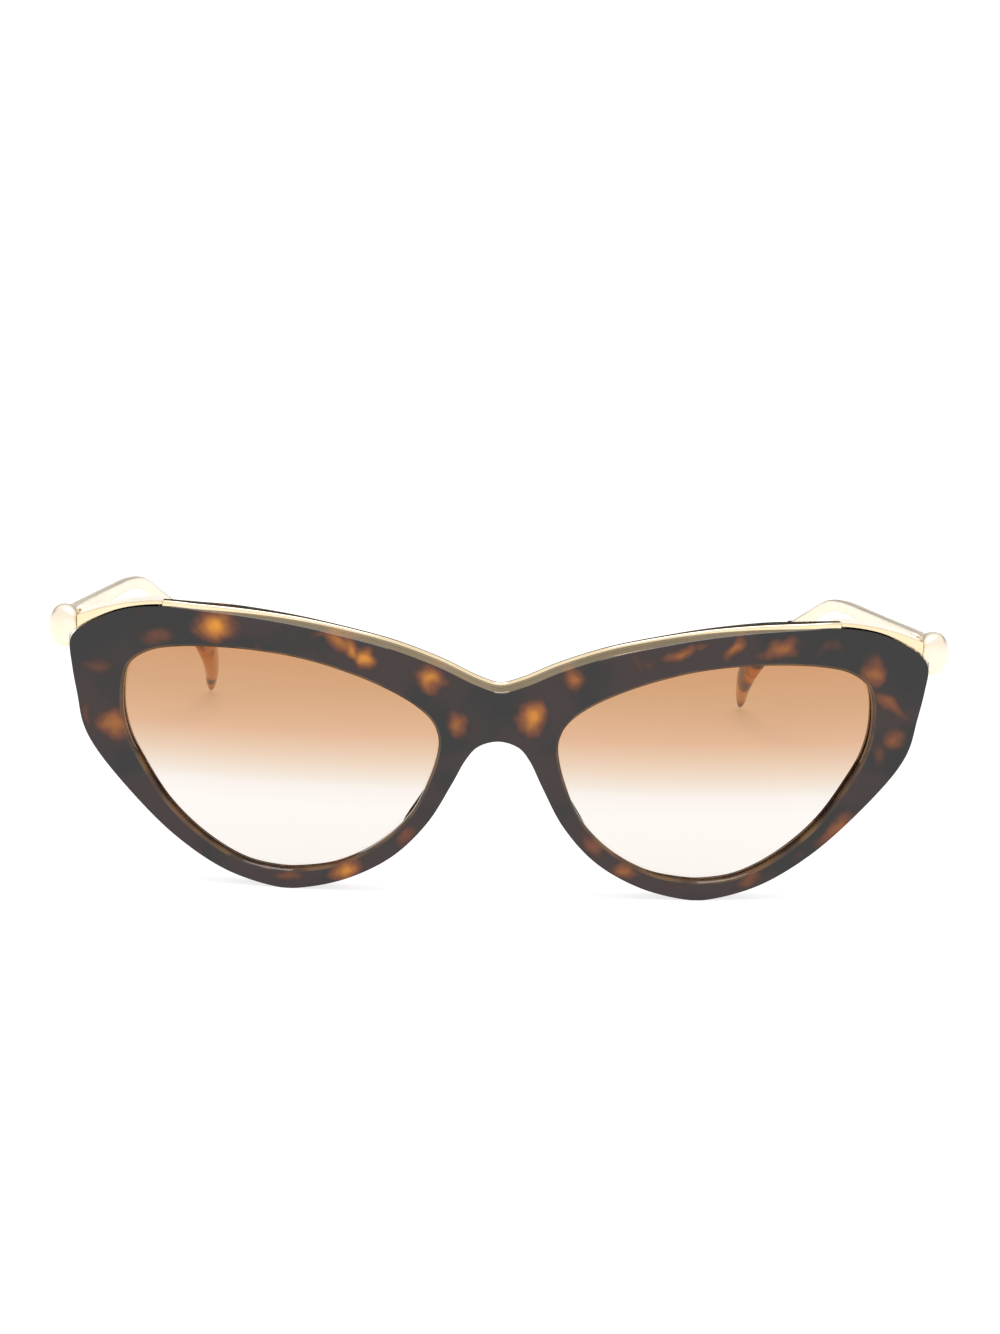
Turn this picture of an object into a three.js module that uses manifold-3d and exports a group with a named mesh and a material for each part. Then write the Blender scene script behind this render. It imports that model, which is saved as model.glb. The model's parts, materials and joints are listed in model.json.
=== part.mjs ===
// Cat eye sunglasses: acetate front with gradient lenses, a gold brow bar set into its top edge,
// gold endpieces, screwed hinges, slim gold temples with acetate tips.
// Millimetres. +Z is up, the front faces -Y, the temples run back along +Y.
// Left and right are the wearer's: the left side is +X. The glasses stand on both rims and both tips.

import * as THREE from 'three';
import Module from 'manifold-3d';

// ---- driving dimensions -------------------------------------------------------------------
const FACE_RADIUS = 350;      // bend of the front about a vertical axis
const FRONT_THICK = 4.5;      // acetate thickness
const EDGE_BREAK = 0.25;      // polished outer edge
const LENS_BEVEL = 0.35;      // bevel round each lens opening
const GROOVE_FRONT = 1.4;     // lens groove, measured back from the front face
const GROOVE_BACK = 3.5;
const GROOVE_DEEP = 0.55;     // groove floor, outside the line of the opening
const REAR_LIP = 0.1;         // the opening is this much wider behind the lens
const LENS_FRONT = 1.65;      // front of the lens edge, in the groove
const LENS_THICK = 1.7;
const LENS_BULGE = 1.5;       // how far the middle of a lens comes forward of its edge
const LENS_GAP = 0.1;
const LENS_MIDDLE = [37, 21];

const BAR_RISE = 0.9;         // brow bar above the acetate edge
const BAR_SUNK = 0.35;        // brow bar below it, in its channel
const SEAT = 0.06;            // clearance between pieces that are fixed together

const PLATE_BACK = 13.2;      // rear face of the endpiece plate, from the foremost point
const PIVOT = [69.2, 16.0, 41.9];
const TEMPLE_SLOPE = 7.8;     // degrees down towards the tips
const KNUCKLE_R = 1.5;
const KNUCKLE_BORE = 0.75;
const KNUCKLE_LOW = 0.95;     // the two front knuckles, above and below the temple's knuckle
const KNUCKLE_HIGH = 1.9;
const PIN_R = 0.68;
const CAP_INNER = 71.45;      // inner side of the hinge cap, beside the endpiece
const CAP_CLEAR = 1.1;        // its lower part stands back from the corner of the acetate
const CAP_HEIGHT = 41.7;

// Pairs of points on the left half: outer edge of the front (x, z) and lens opening (x, z).
// They start over the nose and go along the brow, round the corner and back to the nose arch.
const RIM = [
  [0, 35.4, 10.5, 29.4], [4, 36.5, 11.8, 31.1], [10, 39.2, 14.8, 33.4], [18, 42, 20.2, 36.1],
  [26, 43.9, 26.7, 38.4], [34, 45.4, 33.6, 40.1], [42, 46.4, 41, 41], [50, 47, 48, 41.2],
  [57, 47.3, 54, 40.9], [63, 46.5, 58.3, 40.1], [67.5, 44.7, 61.1, 38.7], [71.2, 42.3, 62.7, 37.1],
  [72.4, 40.4, 63.4, 35.1], [72, 36, 63.7, 32.5], [71, 31, 63.5, 28.4], [70, 26.3, 62.4, 24.4],
  [68.1, 22.6, 60.5, 20.8], [62, 15.4, 55.4, 13.3], [53.7, 7.7, 48.7, 7.4], [45, 2.4, 42, 3.9],
  [36.3, 0, 36, 2.9], [33.1, 0, 33, 3], [25.1, 1.95, 26.4, 4.3], [17.2, 6.3, 19.4, 8.2],
  [11.4, 12.5, 13.9, 13.9], [7.6, 19.3, 11.1, 20], [5.3, 23.8, 10, 23.8], [3.4, 26, 9.7, 26],
  [0, 27, 9.8, 27.4],
];
const SEAM_OPENING = [10.1, 28.4];  // the opening's point nearest to the middle of the bridge
const BROW_ROWS = 8;          // rows 0..8 carry the brow bar
const CORNER_ROW = 11;        // rows 8..11 carry the endpiece

// Middle line of the left temple: (x, y, z). The metal arm comes first, the acetate tip after it.
const TEMPLE = [
  [73.3, 16.4, 41.65], [72.9, 30, 39.8], [71.4, 50, 37.2], [69.4, 70, 34.9], [67.0, 88, 32.8],
  [65.2, 97, 30.9], [62.4, 105, 26.8], [58.0, 112.5, 21.4], [54.4, 120, 15.6], [53.0, 129, 9.0],
  [53.2, 139.5, 0.3],
];
const ARM_END = 6.6;
const WIRE_END = 8;           // the arm goes on as a thin wire inside the tip

// ---- materials ----------------------------------------------------------------------------
const look = (color, roughness, metalness, extra = {}) =>
  new THREE.MeshStandardMaterial({ color, roughness, metalness, ...extra });
const ACETATE = look(0x3a2418, 0.15, 0);
const LENS = look(0xd6a47a, 0.05, 0, { transparent: true, opacity: 0.45 });
const GOLD = look(0xe0b865, 0.15, 1);

// ---- helpers ------------------------------------------------------------------------------
const wasm = await Module();
wasm.setup();

// A point of the flat drawing (x, z), a distance behind the face, on the bent front.
function bend(x, z, depth) {
  const a = Math.asin(x / FACE_RADIUS);
  const r = FACE_RADIUS - depth;
  return new THREE.Vector3(r * Math.sin(a), FACE_RADIUS - r * Math.cos(a), z);
}

// Triangles between rows of points, each row a closed loop, with flat ends unless told otherwise.
function loft(rows, ends = true) {
  const tris = [];
  const n = rows[0].length;
  const quad = (a, b, c, d) => tris.push([a, b, c], [a, c, d]);
  for (let i = 0; i < rows.length - 1; i++) {
    const [p, q] = [rows[i], rows[i + 1]];
    for (let j = 0; j < n; j++) quad(p[j], q[j], q[(j + 1) % n], p[(j + 1) % n]);
  }
  if (ends) {
    const last = rows[rows.length - 1];
    for (const [a, b, c] of fill(rows[0])) tris.push([rows[0][a], rows[0][b], rows[0][c]]);
    for (const [a, b, c] of fill(last)) tris.push([last[a], last[c], last[b]]);
  }
  return tris;
}

const fill = (row) => THREE.ShapeUtils.triangulateShape(flatten(row), []);

// Row of points seen along its own normal, for filling an end face.
function flatten(row) {
  const normal = new THREE.Vector3();
  row.forEach((p, i) => {
    const q = row[(i + 1) % row.length];
    normal.add(new THREE.Vector3().crossVectors(p, q));
  });
  normal.normalize();
  const side = Math.abs(normal.x) < 0.9 ? new THREE.Vector3(1, 0, 0) : new THREE.Vector3(0, 1, 0);
  const u = new THREE.Vector3().crossVectors(normal, side).normalize();
  const v = new THREE.Vector3().crossVectors(normal, u);
  return row.map((p) => new THREE.Vector2(p.dot(u), p.dot(v)));
}

// Triangles to an indexed geometry that faces outward, with equal corners shared.
function solid(tris) {
  const index = new Map();
  const positions = [];
  const faces = [];
  const id = (p) => {
    const key = [p.x, p.y, p.z].map((v) => Math.round(v * 2000)).join(',');
    if (!index.has(key)) {
      index.set(key, positions.length / 3);
      positions.push(p.x, p.y, p.z);
    }
    return index.get(key);
  };
  let volume = 0;
  for (const [a, b, c] of tris) {
    const t = [id(a), id(b), id(c)];
    if (t[0] === t[1] || t[1] === t[2] || t[0] === t[2]) continue;
    faces.push(t);
    volume += a.dot(new THREE.Vector3().crossVectors(b, c));
  }
  const geometry = new THREE.BufferGeometry();
  geometry.setAttribute('position', new THREE.Float32BufferAttribute(positions, 3));
  geometry.setIndex(faces.flatMap(([a, b, c]) => (volume > 0 ? [a, b, c] : [a, c, b])));
  return geometry;
}

function toManifold(geometry) {
  return new wasm.Manifold(new wasm.Mesh({
    numProp: 3,
    vertProperties: new Float32Array(geometry.attributes.position.array),
    triVerts: new Uint32Array(geometry.index.array),
  }));
}

function fromManifold(body) {
  const mesh = body.getMesh();
  const geometry = new THREE.BufferGeometry();
  const positions = new Float32Array(mesh.vertProperties);
  geometry.setAttribute('position', new THREE.BufferAttribute(positions, 3));
  geometry.setIndex(new THREE.BufferAttribute(new Uint32Array(mesh.triVerts), 1));
  return geometry;
}

const join = (...parts) => fromManifold(parts.map(toManifold).reduce((a, b) => a.add(b)));
const cut = (body, ...tools) =>
  fromManifold(tools.map(toManifold).reduce((a, b) => a.subtract(b), toManifold(body)));

// The same piece for the other side of the face.
function mirrored(geometry) {
  const g = geometry.clone();
  const p = g.attributes.position;
  for (let i = 0; i < p.count; i++) p.setX(i, -p.getX(i));
  const t = g.index.array.slice();
  for (let i = 0; i < t.length; i += 3) [t[i + 1], t[i + 2]] = [t[i + 2], t[i + 1]];
  g.setIndex(new THREE.BufferAttribute(t, 1));
  return g;
}

// Round bar about an axis through `middle`, from `low` to `high` along `axis`.
function rod(middle, axis, low, high, radius, sides = 16) {
  return turned(middle, axis, [[low, radius], [high, radius]], sides);
}

// Turned piece: profile of (height along the axis, radius) steps, closed with flat ends.
function turned(middle, axis, profile, sides = 14) {
  const turn = new THREE.Quaternion().setFromUnitVectors(new THREE.Vector3(0, 0, 1), axis);
  const rows = profile.map(([h, r]) => {
    const row = [];
    for (let i = 0; i < sides; i++) {
      const a = ((i + 0.5) / sides) * 2 * Math.PI;
      const p = new THREE.Vector3(r * Math.cos(a), r * Math.sin(a), h);
      row.push(p.applyQuaternion(turn).add(middle));
    }
    return row;
  });
  return solid(loft(rows));
}

function block(low, high, place = (v) => v) {
  const corners = [[low[0], low[1]], [high[0], low[1]], [high[0], high[1]], [low[0], high[1]]];
  const ring = (z) => corners.map(([x, y]) => place(new THREE.Vector3(x, y, z)));
  return solid(loft([ring(low[2]), ring(high[2])]));
}

// ---- the front ----------------------------------------------------------------------------
// Both edges of the rim as smooth curves, sampled together row by row.
function rimStations() {
  const v = (x, z) => new THREE.Vector3(x, 0, z);
  const half = RIM.map(([x, z]) => v(x, z));
  const other = RIM.slice(1, -1).reverse().map(([x, z]) => v(-x, z));
  const outer = new THREE.CatmullRomCurve3([...half, ...other], true, 'centripetal');
  const opening = [...RIM.map((r) => v(r[2], r[3])), v(SEAM_OPENING[0], SEAM_OPENING[1])];
  const inner = new THREE.CatmullRomCurve3(opening, true, 'centripetal');
  const outerCount = half.length + other.length;
  const innerCount = RIM.length + 1;
  const stations = [];
  const add = (row, outerT, innerT) => {
    const o = outer.getPoint(outerT / outerCount);
    const t = outer.getTangent(outerT / outerCount);
    const i = inner.getPoint((innerT / innerCount) % 1);
    const s = inner.getTangent((innerT / innerCount) % 1);
    stations.push({
      row, x: o.x, z: o.z, nx: -t.z, nz: t.x,       // outward normal of the outer edge
      ix: i.x, iz: i.z, mx: s.z, mz: -s.x,          // normal of the opening, towards the lens
    });
  };
  for (let k = 0; k < RIM.length - 1; k++) {
    const a = RIM[k];
    const b = RIM[k + 1];
    const length = Math.hypot(a[0] - b[0], a[1] - b[1]);
    const tight = k >= RIM.length - 4 || k === 0;
    const steps = length < 3.3 && !tight ? 1 : Math.max(2, Math.round(length / 3.4));
    for (let s = 0; s < steps; s++) add(k + s / steps, k + s / steps, k + s / steps);
    if (k === BROW_ROWS - 1) add(BROW_ROWS - 0.02, BROW_ROWS - 0.02, BROW_ROWS - 0.02);
  }
  const last = RIM.length - 1;
  add(last, last, last);
  // the straight line down the middle of the bridge, shared by both halves
  const [ix, iz] = SEAM_OPENING;
  stations.push({ row: last + 0.5, seam: true, x: 0, z: 31.2, ix, iz, mx: 1, mz: 0 });
  return stations;
}

// The bar runs at the back of the edge over the nose and comes forward towards the corners.
const barFront = (x) => Math.max(0, 3.5 * (1 - (x / 55) ** 2));
const barBack = (x) => barFront(x) + 1.0 + 0.8 * Math.min(1, (x / 40) ** 2);
const smooth = (x, a, b) => THREE.MathUtils.smoothstep(x, a, b);
const lipRise = (x) =>
  (BAR_RISE - 0.15 + BAR_SUNK) * smooth(x, 13, 24) - BAR_SUNK - 0.45 * smooth(x, 44, 57);

// Outer wall of the front at one station, from the face to the back: (outward, depth).
function outerProfile(station) {
  const back = FRONT_THICK;
  const brow = station.row <= BROW_ROWS - 0.01;
  const x = station.x;
  if (!brow) {
    const stops = [EDGE_BREAK, 1.2, 1.3, 3.0, 3.1, back - EDGE_BREAK];
    return [[-EDGE_BREAK, 0], ...stops.map((d) => [0, d]), [-EDGE_BREAK, back]];
  }
  const a = Math.max(EDGE_BREAK + 0.02, barFront(x) - SEAT);
  const b = Math.min(back - 0.02, barBack(x) + SEAT);
  const floor = -BAR_SUNK - SEAT;
  const lip = Math.max(floor, lipRise(x));
  const strip = barFront(x) > 0.45 ? 0 : floor;     // near its ends the bar is flush with the face
  const edge = Math.min(EDGE_BREAK, (back - b) / 2);
  return [
    [strip - EDGE_BREAK, 0], [strip, EDGE_BREAK], [strip, a], [floor, a], [floor, b],
    [lip, b], [lip, back - edge], [lip - edge, back],
  ];
}

// Wall of the lens opening, from the face to the back: (towards the lens, depth).
const OPENING_PROFILE = [
  [0, 0], [LENS_BEVEL, LENS_BEVEL], [LENS_BEVEL, GROOVE_FRONT], [-GROOVE_DEEP, GROOVE_FRONT],
  [-GROOVE_DEEP, GROOVE_BACK], [-REAR_LIP, GROOVE_BACK], [-REAR_LIP, FRONT_THICK - EDGE_BREAK],
  [-REAR_LIP - EDGE_BREAK, FRONT_THICK],
];

function frontHalf(stations) {
  const tris = [];
  const quad = (a, b, c, d) => tris.push([a, b, c], [a, c, d]);
  const outerRow = (s) => (s.seam
    ? [bend(0, s.z, 0), bend(0, s.z, FRONT_THICK)]
    : outerProfile(s).map(([o, d]) => bend(s.row === 0 || s.row === RIM.length - 1
      ? 0 : s.x + s.nx * o, s.z + s.nz * o, d)));
  const innerRow = (s) => OPENING_PROFILE.map(([o, d]) => bend(s.ix + s.mx * o, s.iz + s.mz * o, d));
  const outer = stations.map(outerRow);
  const inner = stations.map(innerRow);
  const n = stations.length;
  for (let k = 0; k < n; k++) {
    const next = (k + 1) % n;
    const [p, q, r, t] = [outer[k], outer[next], inner[k], inner[next]];
    quad(p[0], r[0], t[0], q[0]);                                             // face
    quad(p[p.length - 1], q[q.length - 1], t[t.length - 1], r[r.length - 1]); // back
    if (!stations[k].seam && !stations[next].seam && next !== 0) {
      for (let j = 0; j < p.length - 1; j++) quad(p[j], q[j], q[j + 1], p[j + 1]);
    }
    for (let j = 0; j < r.length - 1; j++) quad(r[j], r[j + 1], t[j + 1], t[j]);
  }
  return tris;
}

function frontFrame(stations) {
  const half = frontHalf(stations);
  const flip = (p) => new THREE.Vector3(-p.x, p.y, p.z);
  return solid([...half, ...half.map(([a, b, c]) => [flip(a), flip(c), flip(b)])]);
}

// Lens: rings from the middle to the edge that sits in the groove.
function lens(stations) {
  const inset = GROOVE_DEEP - LENS_GAP;
  const edge = stations.map((s) => [s.ix - s.mx * inset, s.iz - s.mz * inset]);
  const [mx, mz] = LENS_MIDDLE;
  const ring = (f, thick) => edge.map(([x, z]) => bend(
    mx + f * (x - mx), mz + f * (z - mz), LENS_FRONT - LENS_BULGE * (1 - f * f) + thick,
  ));
  const steps = [0, 0.4, 0.7, 0.9, 1];
  const front = steps.map((f) => ring(f, 0));
  const rear = steps.map((f) => ring(f, LENS_THICK)).reverse();
  return solid(loft([...front, ...rear], false));
}

// Brow bar: one wire through its channel, from corner to corner.
function browBar(stations) {
  const half = stations.filter((s) => !s.seam && s.row < BROW_ROWS - 0.01);
  const row = (s, side) => {
    const x = s.x;
    const section = [
      [-BAR_SUNK, barFront(x)], [BAR_RISE - 0.15, barFront(x)], [BAR_RISE, barFront(x) + 0.15],
      [BAR_RISE, barBack(x) - 0.15], [BAR_RISE - 0.15, barBack(x)], [-BAR_SUNK, barBack(x)],
    ];
    return section.map(([o, d]) => {
      const p = bend(s.row === 0 ? 0 : x + s.nx * o, s.z + s.nz * o, d);
      p.x *= side;
      return p;
    });
  };
  const rows = [...half.slice(1).reverse().map((s) => row(s, -1)), ...half.map((s) => row(s, 1))];
  return solid(loft(rows));
}

// Endpiece: lies on the corner of the acetate, turns down behind it and carries the hinge.
const endTop = (x) => 48.2 - 0.0145 * Math.max(0, x - 56) ** 2;
const endFall = (x) => 0.98 - 0.055 * (x - 57);     // the top slopes down towards the back
function endpiece(stations) {
  const rows = stations
    .filter((s) => !s.seam && s.row >= BROW_ROWS && s.row <= CORNER_ROW + 1e-9)
    .map((s) => {
      const x = s.row === BROW_ROWS ? s.x + 0.05 : s.x;
      const low = s.z + SEAT;
      const top = endTop(x);
      const drop = 46.4 - 9.2 * smooth(x, 59.5, 62.5);
      const plate = Math.min(drop, low - 0.02);
      const p = (z, d) => bend(x, z, d);
      const rear = (z) => p(z, FRONT_THICK).setY(PLATE_BACK);
      return [
        p(low, -0.02), p(top - 0.2, -0.02), p(top, 0.18), rear(top - endFall(x)), rear(plate),
        p(plate, FRONT_THICK + SEAT), p(low, FRONT_THICK + SEAT),
      ];
    });
  const body = solid(loft(rows));
  return cut(body, ...leafBores());
}

// Nose pad: a small half oval glued behind the rim beside the nose.
function nosePad() {
  const path = [[7.9, 25.2], [8.5, 21.8], [10.5, 17.4], [13.4, 13.0], [15.5, 10.6]];
  const curve = new THREE.CatmullRomCurve3(path.map(([x, z]) => new THREE.Vector3(x, 0, z)));
  const rows = [];
  const steps = 9;
  for (let i = 0; i <= steps; i++) {
    const t = i / steps;
    const p = curve.getPoint(t);
    const along = curve.getTangent(t);
    const size = 0.25 + 0.75 * Math.sqrt(Math.max(0, 1 - (2 * t - 1) ** 2));
    const half = 1.45 * size;
    const high = 4.4 * size;
    const row = [];
    for (let j = 0; j <= 7; j++) {
      const a = (j / 7) * Math.PI;
      const across = half * Math.cos(a);
      const lean = 0.9 * size * Math.sin(a);
      row.push(bend(
        p.x - along.z * across - lean, p.z + along.x * across,
        FRONT_THICK + SEAT + high * Math.sin(a),
      ));
    }
    rows.push(row);
  }
  return solid(loft(rows));
}

// ---- the hinges -----------------------------------------------------------------------------
const BACKWARD = new THREE.Vector3(0, 1, 0);
const SLOPE = THREE.MathUtils.degToRad(TEMPLE_SLOPE);
const AXIS = new THREE.Vector3(0, Math.sin(SLOPE), Math.cos(SLOPE));
const PIVOT_V = new THREE.Vector3(...PIVOT);
const LEAF_SCREWS = [[64.9, 40.3], [64.9, 43.2]];
const LEAF_THICK = 0.85;
const toHinge = (v) => v.applyAxisAngle(new THREE.Vector3(1, 0, 0), -SLOPE).add(PIVOT_V);
const leafBores = () => LEAF_SCREWS.map(([x, z]) => rod(
  new THREE.Vector3(x, 0, z), BACKWARD, PLATE_BACK - 1.5, PLATE_BACK + 2, 0.6, 12,
));
const pinBore = () => rod(PIVOT_V, AXIS, -4, 4, KNUCKLE_BORE, 16);

function frontLeaf() {
  const plate = block([62.9, PLATE_BACK + SEAT, 38.9], [70.3, PLATE_BACK + LEAF_THICK, 44.4]);
  const arm = (low, high) => join(
    block([-1.05, -2.3, low], [0.9, -0.3, high], toHinge),
    rod(PIVOT_V, AXIS, low, high, KNUCKLE_R, 20),
  );
  const body = join(plate, arm(KNUCKLE_LOW, KNUCKLE_HIGH), arm(-KNUCKLE_HIGH, -KNUCKLE_LOW));
  return cut(body, pinBore(), ...leafBores());
}

function templeLeaf() {
  const plate = block([1.9, 0.45, -1.9], [2.8, 7.6, 1.9], toHinge);
  const web = block([0.3, -0.75, -0.8], [2.1, 1.4, 0.8], toHinge);
  return cut(join(plate, web, rod(PIVOT_V, AXIS, -0.8, 0.8, KNUCKLE_R, 20)), pinBore());
}

function hingeScrew() {
  const top = KNUCKLE_HIGH + 0.04;
  const profile = [
    [-2.5, 0.4], [-2.3, PIN_R], [top, PIN_R], [top, 1.15], [top + 0.2, 1.15], [top + 0.3, 0.85],
  ];
  return turned(PIVOT_V, AXIS, profile, 16);
}

function leafScrew([x, z]) {
  const face = PLATE_BACK + LEAF_THICK + 0.04;
  const profile = [
    [PLATE_BACK - 1.2, 0.3], [PLATE_BACK - 1.0, 0.45], [face, 0.45],
    [face, 0.95], [face + 0.25, 0.95], [face + 0.4, 0.6],
  ];
  return turned(new THREE.Vector3(x, 0, z), BACKWARD, profile, 12);
}

// Rounded cap at the front of the temple, flat on the side of the endpiece.
function hingeCap() {
  const sections = [
    [8.3, 0.9, 1.6], [8.8, 2.6, 2.6], [9.8, 4.0, 3.4], [11.4, 4.75, 3.7], [13.2, 4.6, 3.4],
    [14.8, 3.9, 2.8], [15.95, 3.2, 2.35],
  ];
  const rows = sections.map(([y, wide, high]) => {
    const row = [];
    for (let j = 0; j < 16; j++) {
      const a = (j / 16) * 2 * Math.PI;
      const c = Math.cos(a);
      const s = Math.sin(a);
      const fall = (y - PIVOT[1]) * Math.tan(SLOPE) * 0.5;
      const z = CAP_HEIGHT - fall + high * s;
      const inner = CAP_INNER + CAP_CLEAR * (1 - smooth(z, 40.8, 42.4)) - 0.06 * (1 - s * s);
      const x = CAP_INNER + wide * (0.42 + 0.58 * Math.sign(c) * Math.abs(c) ** 0.85);
      row.push(new THREE.Vector3(Math.max(inner, x), y, z));
    }
    return row;
  });
  return solid(loft(rows));
}

// ---- the temples ----------------------------------------------------------------------------
const TEMPLE_POINTS = TEMPLE.map((p) => new THREE.Vector3(...p));
const TEMPLE_CURVE = new THREE.CatmullRomCurve3(TEMPLE_POINTS, false, 'centripetal');
const mix = THREE.MathUtils.lerp;

// Rounded bar along the temple from point `from` to point `to` of its middle line.
// size(t) gives half thickness, half height and how square the section is.
function sweep(from, to, steps, size, sides) {
  const rows = [];
  for (let i = 0; i <= steps; i++) {
    const t = i / steps;
    const u = mix(from, to, t) / (TEMPLE.length - 1);
    const p = TEMPLE_CURVE.getPoint(u);
    const along = TEMPLE_CURVE.getTangent(u);
    const side = new THREE.Vector3().crossVectors(along, new THREE.Vector3(0, 0, 1)).normalize();
    const up = new THREE.Vector3().crossVectors(side, along);
    const [thick, high, power] = size(t);
    const round = (v) => Math.sign(v) * Math.abs(v) ** power;
    const row = [];
    for (let j = 0; j < sides; j++) {
      const a = ((j + 0.5) / sides) * 2 * Math.PI;
      row.push(p.clone().addScaledVector(side, thick * round(Math.cos(a)))
        .addScaledVector(up, high * round(Math.sin(a))));
    }
    rows.push(row);
  }
  return solid(loft(rows));
}

function templeArm() {
  const section = (t) => [mix(0.95, 0.8, t), mix(2.1, 1.15, smooth(t, 0, 0.85)), 0.5];
  const bar = sweep(0, ARM_END, 22, section, 12);
  const wire = sweep(ARM_END - 0.2, WIRE_END, 9, () => [0.6, 0.6, 1], 8);
  return join(bar, wire);
}

function templeTip() {
  const section = (t) => {
    const end = Math.sqrt(Math.max(0.03, 1 - Math.max(0, (t - 0.86) / 0.14) ** 2));
    const thick = mix(1.25, 1.75, smooth(t, 0, 0.4));
    const high = mix(1.6, 3.1, smooth(t, 0, 0.5)) - 1.1 * smooth(t, 0.5, 1);
    return [end * thick, end * high, 0.7];
  };
  const body = sweep(ARM_END + 0.01, TEMPLE.length - 1, 20, section, 14);
  const bore = sweep(ARM_END - 0.2, WIRE_END + 0.05, 9, () => [0.8, 0.8, 1], 8);
  return cut(body, bore);
}

// ---- assembly -----------------------------------------------------------------------------
function build() {
  const group = new THREE.Group();
  group.name = 'cat_eye_sunglasses';
  const put = (name, geometry, material) => {
    const mesh = new THREE.Mesh(geometry, material);
    mesh.name = name;
    group.add(mesh);
  };
  const pair = (name, geometry, material) => {
    put(`${name}_left`, geometry, material);
    put(`${name}_right`, mirrored(geometry), material);
  };
  const stations = rimStations();
  put('front_frame', frontFrame(stations), ACETATE);
  pair('lens', lens(stations), LENS);
  pair('nose_pad', nosePad(), ACETATE);
  put('brow_bar', browBar(stations), GOLD);
  pair('endpiece', endpiece(stations), GOLD);
  pair('front_hinge_leaf', frontLeaf(), GOLD);
  pair('leaf_screw_lower', leafScrew(LEAF_SCREWS[0]), GOLD);
  pair('leaf_screw_upper', leafScrew(LEAF_SCREWS[1]), GOLD);
  pair('hinge_screw', hingeScrew(), GOLD);
  pair('temple_hinge_leaf', templeLeaf(), GOLD);
  pair('hinge_cap', hingeCap(), GOLD);
  pair('temple_arm', templeArm(), GOLD);
  pair('temple_tip', templeTip(), ACETATE);
  return centred(group);
}

// Origin under the middle of the whole object.
function centred(group) {
  group.updateMatrixWorld(true);
  const box = new THREE.Box3().setFromObject(group);
  const back = (box.min.y + box.max.y) / 2;
  for (const mesh of group.children) mesh.geometry.translate(0, -back, -box.min.z);
  return group;
}

export default build();
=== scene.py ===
# %% [markdown]
# # Cat eye sunglasses
# A lesson in cells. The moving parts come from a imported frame; here every visible piece gets its
# finished shape and its material. All lengths of the drawing are written in millimetres.

# %% The frame
import json
import math
import bpy
import bmesh
from mathutils import Matrix, Vector


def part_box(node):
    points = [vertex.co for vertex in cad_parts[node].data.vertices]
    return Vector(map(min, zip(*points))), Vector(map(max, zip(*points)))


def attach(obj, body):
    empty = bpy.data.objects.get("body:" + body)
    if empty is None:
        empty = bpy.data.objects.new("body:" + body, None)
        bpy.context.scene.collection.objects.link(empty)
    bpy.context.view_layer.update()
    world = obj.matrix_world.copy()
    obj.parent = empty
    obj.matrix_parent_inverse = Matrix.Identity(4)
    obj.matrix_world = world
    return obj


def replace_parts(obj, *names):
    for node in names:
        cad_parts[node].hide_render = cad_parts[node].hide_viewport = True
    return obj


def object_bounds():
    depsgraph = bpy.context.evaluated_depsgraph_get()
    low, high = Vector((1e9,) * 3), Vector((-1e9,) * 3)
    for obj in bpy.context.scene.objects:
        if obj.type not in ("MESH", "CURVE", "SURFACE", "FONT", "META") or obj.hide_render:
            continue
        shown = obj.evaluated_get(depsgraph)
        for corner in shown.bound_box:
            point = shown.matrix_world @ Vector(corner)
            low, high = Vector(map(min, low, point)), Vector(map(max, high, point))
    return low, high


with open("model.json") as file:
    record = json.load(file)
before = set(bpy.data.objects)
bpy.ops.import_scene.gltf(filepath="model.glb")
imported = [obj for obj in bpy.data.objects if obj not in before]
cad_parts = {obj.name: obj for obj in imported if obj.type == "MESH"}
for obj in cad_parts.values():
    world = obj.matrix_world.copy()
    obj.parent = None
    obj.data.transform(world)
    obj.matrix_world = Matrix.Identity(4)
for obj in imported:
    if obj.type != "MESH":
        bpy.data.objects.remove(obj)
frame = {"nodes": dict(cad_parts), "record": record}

CAD_BOX = [list(corner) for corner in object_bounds()]
MM = 0.001
FRONT_LOW, FRONT_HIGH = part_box("front_frame")
FOREMOST = FRONT_LOW[1]                      # y of the foremost line of the front, in metres
JOINTS = {j["name"]: j for j in frame["record"]["behaviour"]["joints"]}
PIVOT = Vector(JOINTS["left_temple_fold"]["pos_m"])
HINGE_AXIS = Vector(JOINTS["left_temple_fold"]["axis"]).normalized()
print("front", [round(v * 1000, 2) for v in (*FRONT_LOW, *FRONT_HIGH)], "pivot", PIVOT[:])

# %% [markdown]
# ## Camera
# A long lens from a little above, as product pictures of glasses are taken: the rims stay
# upright and the temples show behind the brow. The camera is placed from an aim point on the
# front, three angles and a distance.

# %% Camera
DISTANCE = 0.700
LENS_MM = 113.34
PITCH, YAW, ROLL = math.radians(13.3), math.radians(2.0), math.radians(2.33)
aim = Vector((-0.0003, FOREMOST, 0.0399))
ahead = Vector((math.sin(YAW) * math.cos(PITCH), math.cos(YAW) * math.cos(PITCH), -math.sin(PITCH)))
level = Vector((math.cos(YAW), -math.sin(YAW), 0))
over = level.cross(ahead)
right = math.cos(ROLL) * level + math.sin(ROLL) * over
up = -math.sin(ROLL) * level + math.cos(ROLL) * over
camera = bpy.data.objects.new("camera", bpy.data.cameras.new("camera"))
bpy.context.collection.objects.link(camera)
camera.data.lens = LENS_MM
camera.data.clip_start, camera.data.clip_end = 0.01, 50
camera.matrix_world = Matrix.Translation(aim - DISTANCE * ahead) @ Matrix(
    (right, up, -ahead)).transposed().to_4x4()
bpy.context.scene.camera = camera
print("camera", [round(v, 4) for v in camera.location])

# %% [markdown]
# ## Helpers for curves and meshes
# The rim is drawn with few points and a smooth curve through them, the centripetal kind, which
# never loops or overshoots between uneven points.

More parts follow.
